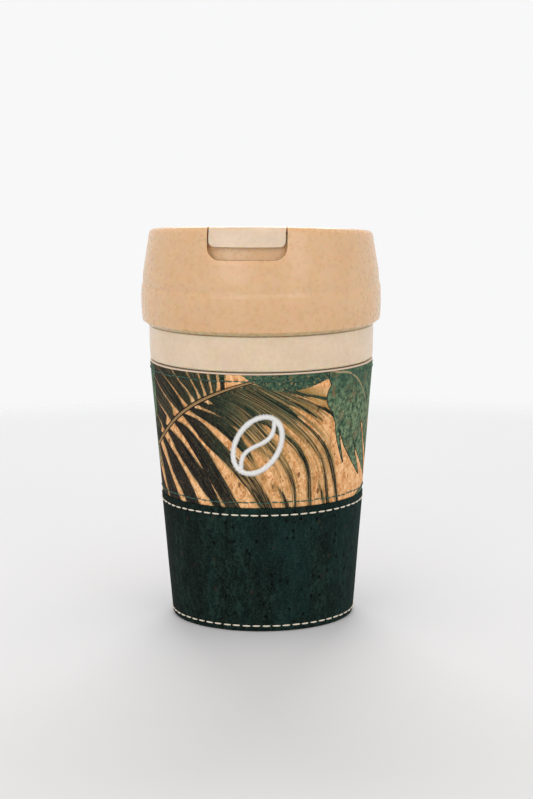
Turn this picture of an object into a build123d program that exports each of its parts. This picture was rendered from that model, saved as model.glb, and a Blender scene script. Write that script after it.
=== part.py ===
from build123d import *
import math
import os

# Travel cup in a cork sleeve: a screw lid with a flip flap, a cup whose wall is a
# stack of telescoping rings, and a sewn conical sleeve that the cup stands in.
# Millimetres. +Z is up, -Y is the drinking side, the origin is the centre of the foot.

# ---------------------------------------------------------------- driving sizes
SLEEVE_TOP_Z = 104.4
SLEEVE_FOOT_R = 36.5
SLEEVE_SLOPE = 0.081          # radius gained per millimetre of height
PANEL_THICKNESS = 0.8
BAND_THICKNESS = 1.1
LINING_THICKNESS = 1.4
BAND_TOP_Z = 50.6
BAND_FOOT_Z = 0.3
LINING_LIP = 0.6              # height of the lining edge turned over the panel
LINING_LIP_INSET = 0.15       # how far that edge ends inside the panel's surface
PANEL_TOP_GAP = 0.05
SEAM_SLIT = 0.4

THREAD_PROUD = 0.35           # how far a row of sewing stands out of the cork
ROW_HEIGHT = 0.8
ZIGZAG_WIDTH = 3.0
ZIGZAG_FOOT_GAP = 3.5         # from the green band up to the zigzag
ZIGZAG_TOP_GAP = 1.5          # from the zigzag up to the top row
CREAM_ROWS_Z = {"band_bottom_stitching": 2.4, "band_top_stitching": 47.8}
GREEN_ROWS_Z = {"panel_hem_stitching": 52.9, "panel_top_stitching": 101.3}

EMBLEM_Z = 76.0
EMBLEM_TURN = 5.0             # degrees from the front, towards +X
EMBLEM_LENGTH = 27.0
EMBLEM_WIDTH = 19.0
EMBLEM_TILT = -32.0
EMBLEM_LINE = 2.3
CREASE_END_GAP = 1.0
CREASE_REACH = 0.4            # where the crease swings widest, as a share of the length
CREASE_SWING = 0.22           # and how far it swings, as a share of the width

RIM_R = 45.0                  # the visible cream band of the cup
RIM_FOOT_Z = 104.9
RIM_TOP_Z = 118.7
RIM_CHAMFER = 0.6
RIM_DRAFT = 0.3               # the band tapers in by this much towards its foot
RIM_DRAFT_HEIGHT = 5.0
NECK_R = 42.6
NECK_BORE_R = 41.0
NECK_TOP_Z = 133.2
BORE_FLARE_LOW = 2.0          # the bore widens between these heights above the rim's foot
BORE_FLARE_HIGH = 5.0
SOFT_EDGE = 0.4               # chamfer of the rim's and the neck's edges

STACK_STEP_Z = 26.0           # height of wall that each ring adds, and its travel
STACK_STEP_R = 2.1
STACK_TOP_R = 40.3            # outer radius of the rim's own wall
RING_WALL = 1.1
SLIDE_GAP = 0.3
LEDGE_HEIGHT = 3.0
LEDGE_DEPTH = 0.7             # the inner ledge and the outer bead stand out alike
BEAD_HEIGHT = 1.6
BEAD_CHAMFER = 0.3
SEAL_HEIGHT = 1.4
SEAL_SEAT_GAP = 0.05
SEAL_BORE_GAP = 0.02
SEAL_PROUD = 0.85
FLOOR_THICKNESS = 2.0
FLOOR_CORNER = 2.0
FOOT_CHAMFER = 1.2
FOOT_PAD_R = 29.0
FOOT_PAD_HEIGHT = 1.6
FOOT_PAD_PROUD = 0.8
FOOT_PAD_GAP = 0.1

THREAD_LEAD = 32.0            # lid rise per turn, on four starts
THREAD_STARTS = 4
LUG_ARC = 30.0
LUG_HEIGHT = 1.8
LUG_DEPTH = 1.3
LUG_GAP = 0.3
LUG_ROOT = 0.3                # how deep a lug is sunk in its wall
RIM_LUG_Z = 126.0

LID_FOOT_Z = 119.0
LID_FOOT_R = 45.5
LID_FOOT_LIP = 0.25
LID_EDGE_Z = 120.7
LID_EDGE_R = 47.7
LID_BULGE_Z = 127.5
LID_BULGE_R = 48.1
LID_CREASE_Z = 134.2          # a low ridge, with a slight neck above it
LID_CREASE_R = 47.9
LID_CREASE_FILLET = 5.5
LID_NECK_Z = 135.5
LID_NECK_R = 47.42
LID_NECK_FILLET = 1.5
LID_CONE_FOOT_Z = 139.5
LID_CONE_FOOT_R = 47.22
LID_CONE_SLOPE = 0.162        # radius lost per millimetre of height
LID_CENTRE_Z = 155.95         # the sloping top face, on the cup's axis
LID_TOP_TILT = 6.8            # degrees, high at the front
LID_TOP_FILLET = 2.3
LID_WALL = 2.0
LID_BORE_R = 45.9             # straight bore that holds the threaded liner
LID_BORE_TOP_Z = 136.8

LINER_FOOT_Z = 119.6
LINER_GAP = 0.05
LINER_BORE_R = 44.2
LINER_WEB_Z = 134.9
LINER_WEB_THICKNESS = 1.6
PLUG_FOOT_Z = 129.0
PLUG_R = 40.6
PLUG_BORE_R = 38.6
PLUG_LEAD_IN = (0.6, 1.2)     # inwards and upwards
GASKET_SIDE_GAP = 0.1
GASKET_FACE_GAP = 0.05

SLOT_WIDTH = 31.2
SLOT_FOOT_Z = 148.0
SLOT_CORNER_R = 5.0
SLOT_DEPTH = 3.0
POCKET_WALL = 1.8
CHANNEL_DEPTH = 3.0
FLAP_WIDTH = 29.8
FLAP_FOOT_Z = 153.2
FLAP_CORNER_R = 2.2
FLAP_LIP = 2.4
FLAP_THICKNESS = 2.0
HINGE_V = -4.0                # hinge line, along the sloping top from the axis
HINGE_REAR_ROOM = 4.3
HINGE_BARREL_R = 2.0
HINGE_BARREL_ROOM = 0.4
HINGE_PIN_R = 0.9
HINGE_RUN_GAP = 0.05
HINGE_PIN_LENGTH = 34.0
HINGE_PIN_END_GAP = 0.2       # over both ends
DRINK_HOLE = (15.0, 7.0)
DRINK_HOLE_V = -34.0
VENT_HOLE_R = 0.8
VENT_HOLE_V = -14.0
SEAL_RING_GAP = 0.9           # width of land between the hole's edge and the seal ring
SEAL_RING_WIDTH = 1.8
SEAL_RING_THICKNESS = 0.9

TALL = 200.0                  # longer than anything here, for cutting tools
REACH = 60.0                  # longer than the cup's radius, for tools that enter from a side
LID_TOOL_TOP_Z = 175.0        # above the lid
LID_TOOL_FOOT_Z = 140.0       # below the finger pocket
LEVEL_SLACK = 0.01


# ---------------------------------------------------------------- helpers
def sleeve_r(z, depth=0.0):
    """Radius of the sleeve's cone at a height, less a depth below its surface."""
    return SLEEVE_FOOT_R + SLEEVE_SLOPE * z - depth


def revolved(*points):
    """A solid of revolution about Z from the (radius, height) corners of its section."""
    outline = make_face(Polyline(*[(r, 0, z) for r, z in points], close=True))
    return revolve(outline, Axis.Z, 360)


def cone_shell(z_low, z_high, inner_depth, outer_depth):
    """A conical tube that follows the sleeve between two depths below its surface."""
    return revolved(
        (sleeve_r(z_low, inner_depth), z_low),
        (sleeve_r(z_low, outer_depth), z_low),
        (sleeve_r(z_high, outer_depth), z_high),
        (sleeve_r(z_high, inner_depth), z_high),
    )


def on_lid_top(v, w=0.0):
    """A plane in the lid's sloping top, v along the slope from the axis and w above it."""
    tilt = math.radians(LID_TOP_TILT)
    normal = (0, math.sin(tilt), math.cos(tilt))
    return Plane(origin=(0, 0, LID_CENTRE_Z), x_dir=(1, 0, 0), z_dir=normal) * Pos(0, v, w)


def save(name, shape):
    shape.label = name
    export_step(shape, f"parts/{name}.step")


# ---------------------------------------------------------------- sleeve
def seam_slit():
    """The butt joint of a wrapped sheet, at the back."""
    return Pos(0, SLEEVE_FOOT_R, 0) * Box(SEAM_SLIT, SLEEVE_FOOT_R, 2 * TALL)


def sleeve_lining():
    skin = PANEL_THICKNESS
    foot = sleeve_r(0, skin)
    top = sleeve_r(SLEEVE_TOP_Z, skin)
    lip_z = SLEEVE_TOP_Z - LINING_LIP
    lip_r = sleeve_r(SLEEVE_TOP_Z, LINING_LIP_INSET)
    return revolved(
        (foot - LINING_THICKNESS, 0),
        (foot, 0),
        (sleeve_r(lip_z, skin), lip_z),
        (lip_r, lip_z),
        (lip_r, SLEEVE_TOP_Z),
        (top - LINING_THICKNESS, SLEEVE_TOP_Z),
    )


def printed_panel():
    top = SLEEVE_TOP_Z - LINING_LIP - PANEL_TOP_GAP
    return cone_shell(BAND_TOP_Z, top, PANEL_THICKNESS, 0) - seam_slit()


def green_band():
    proud = BAND_THICKNESS - PANEL_THICKNESS
    return cone_shell(BAND_FOOT_Z, BAND_TOP_Z, PANEL_THICKNESS, -proud) - seam_slit()


def stitch_row(z, surface_proud):
    """A row of sewing round the sleeve, as the ring that its threads fill."""
    low = z - ROW_HEIGHT / 2
    high = z + ROW_HEIGHT / 2
    return cone_shell(low, high, -surface_proud, -surface_proud - THREAD_PROUD)


def back_seam_stitching():
    """The zigzag that closes the panel's butt joint."""
    low = BAND_TOP_Z + ZIGZAG_FOOT_GAP
    high = GREEN_ROWS_Z["panel_top_stitching"] - ZIGZAG_TOP_GAP
    ring = cone_shell(low, high, 0, -THREAD_PROUD)
    return ring & Pos(0, SLEEVE_FOOT_R, 0) * Box(ZIGZAG_WIDTH, SLEEVE_FOOT_R, 2 * TALL)


def emblem_embroidery():
    """A plain bean outline with an S-shaped crease, sewn on the panel."""
    long_r = EMBLEM_LENGTH / 2
    wide_r = EMBLEM_WIDTH / 2
    face = Ellipse(long_r, wide_r) - Ellipse(long_r - EMBLEM_LINE, wide_r - EMBLEM_LINE)
    crease = Spline(
        (-long_r + CREASE_END_GAP, 0),
        (-long_r * CREASE_REACH, wide_r * CREASE_SWING),
        (long_r * CREASE_REACH, -wide_r * CREASE_SWING),
        (long_r - CREASE_END_GAP, 0),
    )
    face += trace(crease, EMBLEM_LINE)
    front = Plane(origin=(0, 0, EMBLEM_Z), x_dir=(1, 0, 0), z_dir=(0, -1, 0))
    prism = extrude(front * Rot(0, 0, 90 + EMBLEM_TILT) * face, REACH)
    skin = cone_shell(EMBLEM_Z - EMBLEM_LENGTH, EMBLEM_Z + EMBLEM_LENGTH, 0, -THREAD_PROUD)
    return Rot(0, 0, EMBLEM_TURN) * (skin & prism)


# ---------------------------------------------------------------- cup
def lug(inner_r, outer_r, z_start, turn):
    """One thread lug: a rectangle carried up a short stretch of the helix."""
    rise = THREAD_LEAD * LUG_ARC / 360
    middle_r = (inner_r + outer_r) / 2
    path = Pos(0, 0, z_start) * Helix(THREAD_LEAD, rise, middle_r)
    start = path @ 0
    section = Plane(origin=start, x_dir=(1, 0, 0), z_dir=(0, 1, 0)) * Rectangle(
        outer_r - inner_r, LUG_HEIGHT
    )
    return Rot(0, 0, turn) * sweep(section, path=path, is_frenet=True)


def lugs(inner_r, outer_r, z_start):
    step = 360 / THREAD_STARTS
    return [lug(inner_r, outer_r, z_start, step * i) for i in range(THREAD_STARTS)]


def ring_r(level):
    """Outer radius of the wall at a level: 0 is the rim's own wall, 3 the base."""
    return STACK_TOP_R - STACK_STEP_R * level


def ring_foot_z(level):
    return STACK_STEP_Z * (3 - level)


def ring_top_z(level):
    return ring_foot_z(level - 1) + LEDGE_HEIGHT + SEAL_HEIGHT + BEAD_HEIGHT


def rim_ring():
    """The rim: a visible band on a shoulder, a threaded neck, and the first wall."""
    wall_r = ring_r(0)
    bore_r = wall_r - RING_WALL
    foot = ring_foot_z(0)
    body = revolved(
        (bore_r - LEDGE_DEPTH, foot),
        (wall_r, foot),
        (wall_r, RIM_FOOT_Z),
        (RIM_R - RIM_DRAFT - RIM_CHAMFER, RIM_FOOT_Z),
        (RIM_R - RIM_DRAFT, RIM_FOOT_Z + RIM_CHAMFER),
        (RIM_R, RIM_FOOT_Z + RIM_DRAFT_HEIGHT),
        (RIM_R, RIM_TOP_Z - SOFT_EDGE),
        (RIM_R - SOFT_EDGE, RIM_TOP_Z),
        (NECK_R, RIM_TOP_Z),
        (NECK_R, NECK_TOP_Z - SOFT_EDGE),
        (NECK_R - SOFT_EDGE, NECK_TOP_Z),
        (NECK_BORE_R + SOFT_EDGE, NECK_TOP_Z),
        (NECK_BORE_R, NECK_TOP_Z - SOFT_EDGE),
        (NECK_BORE_R, RIM_FOOT_Z + BORE_FLARE_HIGH),
        (bore_r, RIM_FOOT_Z + BORE_FLARE_LOW),
        (bore_r, foot + LEDGE_HEIGHT),
        (bore_r - LEDGE_DEPTH, foot + LEDGE_HEIGHT),
    )
    for piece in lugs(NECK_R - LUG_ROOT, NECK_R + LUG_DEPTH, RIM_LUG_Z):
        body += piece
    return body


def wall_ring(level):
    """A telescoping ring: a stop bead at the top, a ledge inside at the bottom."""
    outer = ring_r(level)
    bore = outer - RING_WALL
    bead = outer + LEDGE_DEPTH
    foot = ring_foot_z(level)
    top = ring_top_z(level)
    bead_foot = top - BEAD_HEIGHT
    return revolved(
        (bore - LEDGE_DEPTH, foot),
        (outer, foot),
        (outer, bead_foot),
        (bead, bead_foot),
        (bead, top - BEAD_CHAMFER),
        (bead - BEAD_CHAMFER, top),
        (bore, top),
        (bore, foot + LEDGE_HEIGHT),
        (bore - LEDGE_DEPTH, foot + LEDGE_HEIGHT),
    )


def base_cup():
    """The lowest ring, closed by the cup's floor, with a seat for the foot pad."""
    outer = ring_r(3)
    bore = outer - RING_WALL
    bead = outer + LEDGE_DEPTH
    foot = FOOT_PAD_PROUD
    top = ring_top_z(3)
    bead_foot = top - BEAD_HEIGHT
    seat = FOOT_PAD_HEIGHT
    floor = seat + FLOOR_THICKNESS
    return revolved(
        (0, seat),
        (FOOT_PAD_R, seat),
        (FOOT_PAD_R, foot),
        (outer - FOOT_CHAMFER, foot),
        (outer, foot + FOOT_CHAMFER),
        (outer, bead_foot),
        (bead, bead_foot),
        (bead, top - BEAD_CHAMFER),
        (bead - BEAD_CHAMFER, top),
        (bore, top),
        (bore, floor + FLOOR_CORNER),
        (bore - FLOOR_CORNER, floor),
        (0, floor),
    )


def ring_seal(level):
    """The soft washer under a ring's stop bead, which lands on the ledge below."""
    inner = ring_r(level) + SEAL_BORE_GAP
    outer = ring_r(level) + SEAL_PROUD
    high = ring_top_z(level) - BEAD_HEIGHT
    low = high - SEAL_HEIGHT + SEAL_SEAT_GAP
    return revolved((inner, low), (outer, low), (outer, high), (inner, high))


def foot_pad():
    return Pos(0, 0, FOOT_PAD_HEIGHT / 2) * Cylinder(FOOT_PAD_R - FOOT_PAD_GAP, FOOT_PAD_HEIGHT)


# ---------------------------------------------------------------- lid
def lid_cone_r(z, depth=0.0):
    return LID_CONE_FOOT_R - LID_CONE_SLOPE * (z - LID_CONE_FOOT_Z) - depth


def circles_at(shape, z):
    """The level circular edges of a shape at a height."""
    level = shape.edges().filter_by(GeomType.CIRCLE)
    return level.filter_by_position(Axis.Z, z - LEVEL_SLACK, z + LEVEL_SLACK)


def lid_form():
    """The lid's outer form as a solid lump, with its sloping top and rounded edge."""
    high = LID_TOOL_TOP_Z
    foot = (LID_FOOT_R, 0, LID_FOOT_Z)
    edge = (LID_EDGE_R, 0, LID_EDGE_Z)
    crease = (LID_CREASE_R, 0, LID_CREASE_Z)
    neck = (LID_NECK_R, 0, LID_NECK_Z)
    cone = (LID_CONE_FOOT_R, 0, LID_CONE_FOOT_Z)
    outline = [
        Line((0, 0, LID_FOOT_Z), foot),
        Line(foot, edge),
        ThreePointArc(edge, (LID_BULGE_R, 0, LID_BULGE_Z), crease),
        Line(crease, neck),
        Line(neck, cone),
        Line(cone, (lid_cone_r(high), 0, high)),
        Line((lid_cone_r(high), 0, high), (0, 0, high)),
        Line((0, 0, high), (0, 0, LID_FOOT_Z)),
    ]
    lump = revolve(make_face(outline), Axis.Z, 360)
    lump -= on_lid_top(0, TALL / 2) * Box(TALL, TALL, TALL)
    rim = lump.faces().sort_by(Axis.Z)[-1].edges()
    lump = fillet(rim, LID_TOP_FILLET)
    lump = fillet(circles_at(lump, LID_CREASE_Z), LID_CREASE_FILLET)
    return fillet(circles_at(lump, LID_NECK_Z), LID_NECK_FILLET)


def lid_core(depth):
    """The inside of the lid's upper cone, a depth below its surface."""
    low = LID_TOOL_FOOT_Z
    high = LID_TOOL_TOP_Z
    return revolved(
        (0, low),
        (lid_cone_r(low, depth), low),
        (lid_cone_r(high, depth), high),
        (0, high),
    )


def front_window(width, foot_z, corner_r):
    """A slab cut into the front wall: straight sides and round lower corners."""
    front = Plane(origin=(0, 0, foot_z + REACH / 2), x_dir=(1, 0, 0), z_dir=(0, -1, 0))
    return extrude(front * RectangleRounded(width, REACH, corner_r), REACH)


def top_channel(width, depth, rear_v):
    """The groove along the sloping top, from the front edge to behind the hinge."""
    return on_lid_top(rear_v - REACH / 2, (REACH - depth) / 2) * Box(width, REACH, depth + REACH)


def lid_cavity():
    """The hollow of the lid, kept clear of the walls of the flap's pocket."""
    join_z = LID_CONE_FOOT_Z
    high = LID_TOOL_TOP_Z
    hollow = revolved(
        (0, LINER_FOOT_Z),
        (LID_BORE_R, LINER_FOOT_Z),
        (LID_BORE_R, LID_BORE_TOP_Z),
        (lid_cone_r(join_z, LID_WALL), join_z),
        (lid_cone_r(high, LID_WALL), high),
        (0, high),
    )
    hollow -= on_lid_top(0, TALL / 2 - LID_WALL) * Box(TALL, TALL, TALL)
    wall = POCKET_WALL
    room = SLOT_WIDTH + 2 * wall
    pocket = front_window(room, SLOT_FOOT_Z - wall, SLOT_CORNER_R + wall)
    hollow -= pocket - lid_core(SLOT_DEPTH + wall)
    hollow -= top_channel(room, CHANNEL_DEPTH + wall, HINGE_V + HINGE_REAR_ROOM + wall)
    barrel = on_lid_top(HINGE_V, -HINGE_BARREL_R) * Rot(0, 90, 0)
    hollow -= barrel * Cylinder(HINGE_BARREL_R + HINGE_BARREL_ROOM + wall, room)
    return hollow


def lid_shell():
    """The outer cap, with the flap's channel, finger pocket, drink hole and vent."""
    shell = lid_form() - lid_cavity()
    shell -= Pos(0, 0, LID_FOOT_Z) * Cylinder(LID_FOOT_R - LID_FOOT_LIP, 2 * LID_WALL)
    shell -= front_window(SLOT_WIDTH, SLOT_FOOT_Z, SLOT_CORNER_R) - lid_core(SLOT_DEPTH)
    shell -= top_channel(SLOT_WIDTH, CHANNEL_DEPTH, HINGE_V + HINGE_REAR_ROOM)
    hinge = on_lid_top(HINGE_V, -HINGE_BARREL_R) * Rot(0, 90, 0)
    shell -= hinge * Cylinder(HINGE_BARREL_R + HINGE_BARREL_ROOM, SLOT_WIDTH)
    shell -= hinge * Cylinder(HINGE_PIN_R, HINGE_PIN_LENGTH)
    depth = CHANNEL_DEPTH + LID_WALL
    hole = extrude(SlotOverall(*DRINK_HOLE), 2 * depth, both=True)
    shell -= on_lid_top(DRINK_HOLE_V, -depth) * hole
    shell -= on_lid_top(VENT_HOLE_V, -depth) * Cylinder(VENT_HOLE_R, 2 * depth)
    return shell


def lid_thread_ring():
    """The liner pressed into the cap: lugs, a web over the gasket, and a plug."""
    top = LINER_WEB_Z + LINER_WEB_THICKNESS
    outer = LID_BORE_R - LINER_GAP
    plug_in, plug_up = PLUG_LEAD_IN
    body = revolved(
        (LINER_BORE_R, LINER_FOOT_Z),
        (outer, LINER_FOOT_Z),
        (outer, top),
        (PLUG_BORE_R, top),
        (PLUG_BORE_R, PLUG_FOOT_Z),
        (PLUG_R - plug_in, PLUG_FOOT_Z),
        (PLUG_R, PLUG_FOOT_Z + plug_up),
        (PLUG_R, LINER_WEB_Z),
        (LINER_BORE_R, LINER_WEB_Z),
    )
    z_start = RIM_LUG_Z - LUG_HEIGHT - LUG_GAP
    for piece in lugs(LINER_BORE_R - LUG_DEPTH, LINER_BORE_R + LUG_ROOT, z_start):
        body += piece
    return body


def lid_gasket():
    """The soft ring that the lid pulls down on the neck's top edge."""
    inner = PLUG_R + GASKET_SIDE_GAP
    outer = LINER_BORE_R - GASKET_SIDE_GAP
    low = NECK_TOP_Z + GASKET_FACE_GAP
    high = LINER_WEB_Z - GASKET_FACE_GAP
    return revolved((inner, low), (outer, low), (outer, high), (inner, high))


def drink_flap():
    """The flap: a strip in the channel, a lip over the front, a barrel at the back."""
    form = lid_form()
    strip = form & top_channel(FLAP_WIDTH, FLAP_THICKNESS, HINGE_V)
    window = front_window(FLAP_WIDTH, FLAP_FOOT_Z, FLAP_CORNER_R)
    lip = (form & window) - lid_core(FLAP_LIP)
    lip -= on_lid_top(REACH / 2, 0) * Box(TALL, REACH, REACH)
    axis = on_lid_top(HINGE_V, -HINGE_BARREL_R) * Rot(0, 90, 0)
    barrel = axis * Cylinder(HINGE_BARREL_R, FLAP_WIDTH)
    return strip + lip + barrel - axis * Cylinder(HINGE_PIN_R + HINGE_RUN_GAP, 2 * FLAP_WIDTH)


def flap_seal_ring():
    """The soft ring under the flap that seals round the drink hole."""
    hole_length, hole_width = DRINK_HOLE
    inner = 2 * SEAL_RING_GAP
    outer = inner + 2 * SEAL_RING_WIDTH
    face = SlotOverall(hole_length + outer, hole_width + outer)
    face -= SlotOverall(hole_length + inner, hole_width + inner)
    seat = on_lid_top(DRINK_HOLE_V, -FLAP_THICKNESS - SEAL_RING_THICKNESS)
    return seat * extrude(face, SEAL_RING_THICKNESS)


def flap_hinge_pin():
    axis = on_lid_top(HINGE_V, -HINGE_BARREL_R) * Rot(0, 90, 0)
    return axis * Cylinder(HINGE_PIN_R, HINGE_PIN_LENGTH - HINGE_PIN_END_GAP)


# ---------------------------------------------------------------- build
os.makedirs("parts", exist_ok=True)

save("sleeve_lining", sleeve_lining())
save("printed_panel", printed_panel())
save("green_band", green_band())
for row, height in CREAM_ROWS_Z.items():
    save(row, stitch_row(height, BAND_THICKNESS - PANEL_THICKNESS))
for row, height in GREEN_ROWS_Z.items():
    save(row, stitch_row(height, 0))
save("back_seam_stitching", back_seam_stitching())
save("emblem_embroidery", emblem_embroidery())

save("rim_ring", rim_ring())
save("upper_wall_ring", wall_ring(1))
save("lower_wall_ring", wall_ring(2))
save("base_cup", base_cup())
for level, name in enumerate(["upper_ring_seal", "lower_ring_seal", "base_seal"], start=1):
    save(name, ring_seal(level))
save("foot_pad", foot_pad())

save("lid_shell", lid_shell())
save("lid_thread_ring", lid_thread_ring())
save("lid_gasket", lid_gasket())
save("drink_flap", drink_flap())
save("flap_seal_ring", flap_seal_ring())
save("flap_hinge_pin", flap_hinge_pin())
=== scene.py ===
import math
import random

import bpy
import numpy as np
from mathutils import Matrix, Vector


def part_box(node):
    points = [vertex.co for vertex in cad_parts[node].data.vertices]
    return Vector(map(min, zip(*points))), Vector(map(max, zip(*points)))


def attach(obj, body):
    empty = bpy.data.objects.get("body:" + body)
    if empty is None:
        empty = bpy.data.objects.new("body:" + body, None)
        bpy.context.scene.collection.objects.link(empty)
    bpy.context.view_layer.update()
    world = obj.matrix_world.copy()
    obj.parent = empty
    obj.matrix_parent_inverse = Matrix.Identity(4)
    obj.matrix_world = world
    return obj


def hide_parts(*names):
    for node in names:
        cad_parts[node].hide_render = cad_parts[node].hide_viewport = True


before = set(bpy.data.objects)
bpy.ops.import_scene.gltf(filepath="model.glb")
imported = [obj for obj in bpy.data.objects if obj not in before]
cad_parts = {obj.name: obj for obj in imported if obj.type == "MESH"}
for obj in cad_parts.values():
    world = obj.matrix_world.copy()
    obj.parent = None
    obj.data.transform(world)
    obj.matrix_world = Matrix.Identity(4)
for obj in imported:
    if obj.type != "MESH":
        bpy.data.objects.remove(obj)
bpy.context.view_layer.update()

# Looks of a travel cup in a sewn cork sleeve. Metres, +Z up, -Y the drinking side.
# Angles round the cup are in degrees from the front (-Y), positive towards +X.

MM = 0.001

# ---------------------------------------------------------------- places read from the frame
panel_low, panel_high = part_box("printed_panel")
band_low, band_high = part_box("green_band")
lining_low, lining_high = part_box("sleeve_lining")
emblem_low, emblem_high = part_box("emblem_embroidery")
seam_low, seam_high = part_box("back_seam_stitching")

BAND_PROUD = 0.3 * MM          # the green sheet stands this far out of the printed one
PANEL_THICKNESS = 0.8 * MM
BAND_THICKNESS = 1.1 * MM
LINING_THICKNESS = 1.4 * MM
SEAM_HALF = 0.06 * MM          # half the gap of the butt joint at the back
RIPPLE = 0.06 * MM             # unevenness of the cork sheets
LINING_RIPPLE = 0.03 * MM
SEWN_DIP = 0.10 * MM           # the sheets dip this far along a row of sewing
SEWN_DIP_REACH = 0.9 * MM
EDGE_DROP = 0.28 * MM          # rounding of the sheets' long edges
EDGE_REACH = 0.7 * MM

SLEEVE_SLOPE = (panel_high.x - band_high.x + BAND_PROUD) / (panel_high.z - band_high.z)


def sleeve_r(z):
    """Radius of the printed sheet's outer face at a height."""
    return panel_high.x + SLEEVE_SLOPE * (z - panel_high.z)


def row_z(node):
    """The middle height of a row of sewing."""
    low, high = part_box(node)
    return (low.z + high.z) / 2


# ---------------------------------------------------------------- camera
CAMERA_TURN = 7.2              # degrees round the cup, towards +X
CAMERA_DISTANCE = 0.923
CAMERA_HEIGHT = 0.240
CAMERA_PITCH = 9.41
CAMERA_ROLL = -0.35
CAMERA_LENS = 104.1
CAMERA_SHIFT_X = 0.006


def make_camera():
    data = bpy.data.cameras.new("camera")
    data.lens = CAMERA_LENS
    data.sensor_width = 36
    data.shift_x = CAMERA_SHIFT_X
    data.clip_start = 0.01
    data.clip_end = 20
    camera = bpy.data.objects.new("camera", data)
    bpy.context.scene.collection.objects.link(camera)
    turn = math.radians(CAMERA_TURN)
    camera.location = (
        CAMERA_DISTANCE * math.sin(turn),
        -CAMERA_DISTANCE * math.cos(turn),
        CAMERA_HEIGHT,
    )
    aim = Matrix.Rotation(turn, 3, "Z") @ Matrix.Rotation(math.radians(90 - CAMERA_PITCH), 3, "X")
    aim = aim @ Matrix.Rotation(math.radians(CAMERA_ROLL), 3, "Z")
    camera.rotation_euler = aim.to_euler()
    bpy.context.scene.camera = camera


make_camera()


# ---------------------------------------------------------------- node graphs
class Graph:
    """A material being built, with short calls for the nodes that it needs."""

    def __init__(self, name):
        self.material = bpy.data.materials.new(name)
        self.material.use_nodes = True
        self.tree = self.material.node_tree
        self.shader = self.tree.nodes["Principled BSDF"]

    def link(self, value, socket):
        if hasattr(value, "is_output"):
            self.tree.links.new(value, socket)
        else:
            socket.default_value = value

    def node(self, kind, inputs=None, **settings):
        made = self.tree.nodes.new(kind)
        for key, value in settings.items():
            setattr(made, key, value)
        for key, value in (inputs or {}).items():
            self.link(value, made.inputs[key])
        return made

    def math(self, operation, a, b=0.0):
        return self.node("ShaderNodeMath", {0: a, 1: b}, operation=operation).outputs[0]

    def add(self, a, b):
        return self.math("ADD", a, b)

    def sub(self, a, b):
        return self.math("SUBTRACT", a, b)

    def mul(self, a, b):
        return self.math("MULTIPLY", a, b)

    def high(self, a, b):
        return self.math("MAXIMUM", a, b)

    def step(self, value, low, high):
        """0 below low, 1 above high and smooth between; low may be the larger of the two."""
        inputs = {"Value": value, "From Min": low, "From Max": high}
        return self.node(
            "ShaderNodeMapRange", inputs, interpolation_type="SMOOTHSTEP"
        ).outputs[0]

    def mix(self, factor, a, b):
        made = self.node("ShaderNodeMix", data_type="RGBA")
        self.link(factor, made.inputs[0])
        self.link(a, made.inputs[6])
        self.link(b, made.inputs[7])
        return made.outputs[2]

    def place(self):
        """Object coordinates, which stay with the piece as it moves."""
        return self.node("ShaderNodeTexCoord").outputs["Object"]

    def scaled(self, vector, scale):
        inputs = {"Vector": vector, "Scale": scale}
        return self.node("ShaderNodeMapping", inputs).outputs[0]

    def vector(self, x, y, z=0.0):
        return self.node("ShaderNodeCombineXYZ", {0: x, 1: y, 2: z}).outputs[0]

    def split(self, vector):
        return self.node("ShaderNodeSeparateXYZ", {0: vector}).outputs

    def noise(self, vector, scale, detail=3.0, rough=0.55, warp=0.0):
        inputs = {
            "Vector": vector,
            "Scale": scale,
            "Detail": detail,
            "Roughness": rough,
            "Distortion": warp,
        }
        return self.node("ShaderNodeTexNoise", inputs).outputs[0]

    def cells(self, vector, scale, randomness=1.0):
        """Voronoi cells: the distance from each centre, and a random grey per cell."""
        inputs = {"Vector": vector, "Scale": scale, "Randomness": randomness}
        made = self.node("ShaderNodeTexVoronoi", inputs)
        grey = self.split(made.outputs["Color"])[0]
        return made.outputs["Distance"], grey

    def attribute(self, name):
        return self.node("ShaderNodeAttribute", attribute_name=name).outputs["Fac"]

    def bump(self, height, distance, strength=1.0):
        inputs = {"Height": height, "Distance": distance, "Strength": strength}
        made = self.node("ShaderNodeBump", inputs)
        self.tree.links.new(made.outputs[0], self.shader.inputs["Normal"])

    def set(self, **values):
        names = {"color": "Base Color", "specular_ior_level": "Specular IOR Level"}
        for key, value in values.items():
            name = names.get(key) or key.replace("_", " ").title()
            self.link(value, self.shader.inputs[name])


def rgb(red, green, blue):
    """An sRGB colour, 0 to 255, as the linear RGBA that a node takes."""

    def linear(value):
        part = value / 255
        return part / 12.92 if part <= 0.04045 else ((part + 0.055) / 1.055) ** 2.4

    return (linear(red), linear(green), linear(blue), 1.0)


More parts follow.
